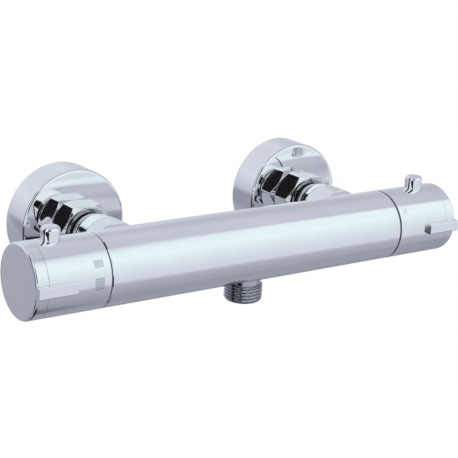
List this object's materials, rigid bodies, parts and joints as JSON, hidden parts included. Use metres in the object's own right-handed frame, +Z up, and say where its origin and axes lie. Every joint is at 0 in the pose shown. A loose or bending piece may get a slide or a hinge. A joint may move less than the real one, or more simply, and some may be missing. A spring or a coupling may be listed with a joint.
{
  "type": "thermostatic shower valve",
  "caption": "Chrome bar valve for a shower wall: one end knob sets temperature, the other flow; eccentric unions with escutcheons feed it and a threaded outlet points down.",
  "frame": {"origin": "on the wall plane, midway between the two wall threads and at their height", "axes": "+X along the bar towards the temperature knob, +Y into the wall, +Z up"},
  "size_m": [0.275, 0.1113, 0.0672],
  "materials": {
    "bar_chrome": "polished",
    "nipple_chrome": "polished, threaded",
    "knob_chrome": "polished",
    "cap_chrome": "polished",
    "fin_chrome": "polished",
    "button_chrome": "polished",
    "nut_chrome": "polished",
    "plate_chrome": "polished",
    "tail_brass": "nickel plated",
    "union_brass": "nickel plated",
    "fibre": "pressed fibre",
    "mesh_steel": "woven",
    "check_plastic": "moulded",
    "poppet_plastic": "moulded",
    "spring_steel": "drawn wire",
    "cartridge_plastic": "moulded",
    "seal_rubber": "smooth",
    "element_copper": "turned copper",
    "turned_brass": "turned",
    "piston_steel": "ground",
    "ring_brass": "turned",
    "stop_plastic": "moulded",
    "slide_plastic": "moulded",
    "hub_plastic": "moulded",
    "screw_steel": "zinc plated",
    "ceramic": "lapped ceramic"
  },
  "bodies": {
    "valve_body": {"bar_body": "bar_chrome", "outlet_nipple": "nipple_chrome", "inlet_tail_left": "tail_brass", "inlet_washer_left": "fibre", "inlet_strainer_left": "mesh_steel", "s_union_left": "union_brass", "escutcheon_left": "plate_chrome", "check_body_left": "check_plastic", "check_spring_left": "spring_steel", "inlet_tail_right": "tail_brass", "inlet_washer_right": "fibre", "inlet_strainer_right": "mesh_steel", "s_union_right": "union_brass", "escutcheon_right": "plate_chrome", "check_body_right": "check_plastic", "check_spring_right": "spring_steel", "thermo_nose": "cartridge_plastic", "thermo_sleeve": "cartridge_plastic", "thermo_orings": "seal_rubber", "return_spring": "spring_steel", "temp_gland_ring": "ring_brass", "temp_stop_ring": "stop_plastic", "temp_slide_ring": "slide_plastic", "flow_seal": "seal_rubber", "fixed_disc": "ceramic", "flow_headwork": "turned_brass", "flow_oring": "seal_rubber", "flow_gland_ring": "ring_brass", "flow_stop_ring": "stop_plastic", "flow_slide_ring": "slide_plastic"},
    "nut_left": {"union_nut_left": "nut_chrome"},
    "poppet_left": {"check_poppet_left": "poppet_plastic"},
    "nut_right": {"union_nut_right": "nut_chrome"},
    "poppet_right": {"check_poppet_right": "poppet_plastic"},
    "temp_knob": {"temp_knob_shell": "knob_chrome", "temp_knob_hub": "hub_plastic", "temp_knob_fin": "fin_chrome", "temp_end_cap": "cap_chrome", "temp_knob_screw": "screw_steel", "temp_button_spring": "spring_steel", "regulating_spindle": "turned_brass"},
    "temp_button": {"temp_button": "button_chrome"},
    "thermostat": {"regulating_nut": "turned_brass", "overload_cup": "turned_brass", "overload_spring": "spring_steel", "element_piston": "piston_steel", "wax_element": "element_copper", "mixing_shuttle": "cartridge_plastic"},
    "flow_knob": {"flow_knob_shell": "knob_chrome", "flow_knob_hub": "hub_plastic", "flow_knob_fin": "fin_chrome", "flow_end_cap": "cap_chrome", "flow_knob_screw": "screw_steel", "flow_button_spring": "spring_steel", "flow_spindle": "turned_brass", "moving_disc": "ceramic"},
    "flow_button": {"flow_button": "button_chrome"}
  },
  "joints": [
    {"name": "temp_turn", "type": "hinge", "parent": "valve_body", "child": "temp_knob", "pos_m": [0.1165, -0.074, 0.002], "axis": [1, 0, 0], "range_deg": [-160, 40]},
    {"name": "thermostat_travel", "type": "slide", "parent": "valve_body", "child": "thermostat", "axis": [1, 0, 0], "range_m": [-0.0009, 0.00025], "deforming": ["return_spring"]},
    {"name": "temp_button_press", "type": "slide", "parent": "temp_knob", "child": "temp_button", "axis": [0, 0, -1], "range_m": [0, 0.0025], "stiffness_N_per_m": 600, "springref_m": -0.002, "deforming": ["temp_button_spring"]},
    {"name": "flow_turn", "type": "hinge", "parent": "valve_body", "child": "flow_knob", "pos_m": [-0.1165, -0.074, 0.002], "axis": [-1, 0, 0], "range_deg": [0, 90]},
    {"name": "flow_button_press", "type": "slide", "parent": "flow_knob", "child": "flow_button", "axis": [0, 0, -1], "range_m": [0, 0.0025], "stiffness_N_per_m": 600, "springref_m": -0.002, "deforming": ["flow_button_spring"]},
    {"name": "nut_turn_left", "type": "hinge", "parent": "valve_body", "child": "nut_left", "pos_m": [-0.075, -0.026, 0.008], "axis": [0, 1, 0], "continuous": true},
    {"name": "poppet_open_left", "type": "slide", "parent": "valve_body", "child": "poppet_left", "axis": [0, -1, 0], "range_m": [0, 0.003], "stiffness_N_per_m": 60, "springref_m": -0.003, "deforming": ["check_spring_left"]},
    {"name": "nut_turn_right", "type": "hinge", "parent": "valve_body", "child": "nut_right", "pos_m": [0.075, -0.026, 0.008], "axis": [0, 1, 0], "continuous": true},
    {"name": "poppet_open_right", "type": "slide", "parent": "valve_body", "child": "poppet_right", "axis": [0, -1, 0], "range_m": [0, 0.003], "stiffness_N_per_m": 60, "springref_m": -0.003, "deforming": ["check_spring_right"]}
  ],
  "couplings": [
    {"joint": "thermostat_travel", "follows": "temp_turn", "m_per_rad": 0.00031831}
  ]
}
